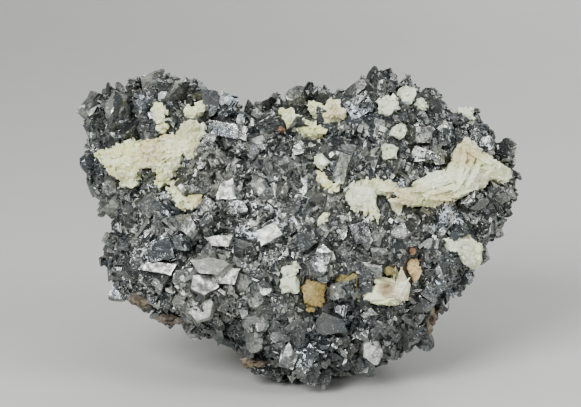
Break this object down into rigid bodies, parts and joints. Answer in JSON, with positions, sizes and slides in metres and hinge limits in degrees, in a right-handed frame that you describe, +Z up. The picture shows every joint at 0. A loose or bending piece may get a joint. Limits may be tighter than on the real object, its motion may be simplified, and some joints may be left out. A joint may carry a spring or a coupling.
{
  "type": "valentinite mineral specimen",
  "caption": "Heart-shaped lump of grey metallic crystals with cream valentinite crusts, standing on a narrow rock foot.",
  "frame": {"origin": "middle of the bounding box's bottom face, on the surface that the specimen stands on", "axes": "+Z up, -Y towards the viewer of the crystal face, +X to the right of the crystal face"},
  "size_m": [0.111, 0.0608, 0.0755],
  "materials": {
    "galena": "satin",
    "host_rock": "matte",
    "valentinite": "satin",
    "ochre": "matte"
  },
  "bodies": {
    "root": {"galena_crystal_mass": "galena", "host_rock": "host_rock", "valentinite_crust_left": "valentinite", "valentinite_spray_left": "valentinite", "valentinite_fleck_upper_left": "valentinite", "valentinite_patch_upper_left": "valentinite", "valentinite_crust_top_left": "valentinite", "valentinite_crust_top_right": "valentinite", "valentinite_crust_right": "valentinite", "valentinite_knob_lower_right": "valentinite", "valentinite_sheaf_lower": "valentinite", "valentinite_spray_middle": "valentinite", "valentinite_fleck_middle": "valentinite", "valentinite_block_1": "valentinite", "valentinite_block_2": "valentinite", "valentinite_block_3": "valentinite", "valentinite_block_4": "valentinite", "valentinite_block_5": "valentinite", "valentinite_block_6": "valentinite", "valentinite_block_7": "valentinite", "valentinite_block_8": "valentinite", "valentinite_block_9": "valentinite", "valentinite_block_10": "valentinite", "ochre_plate_middle": "ochre", "ochre_plate_small": "ochre", "ochre_knob_right": "ochre"}
  },
  "joints": []
}
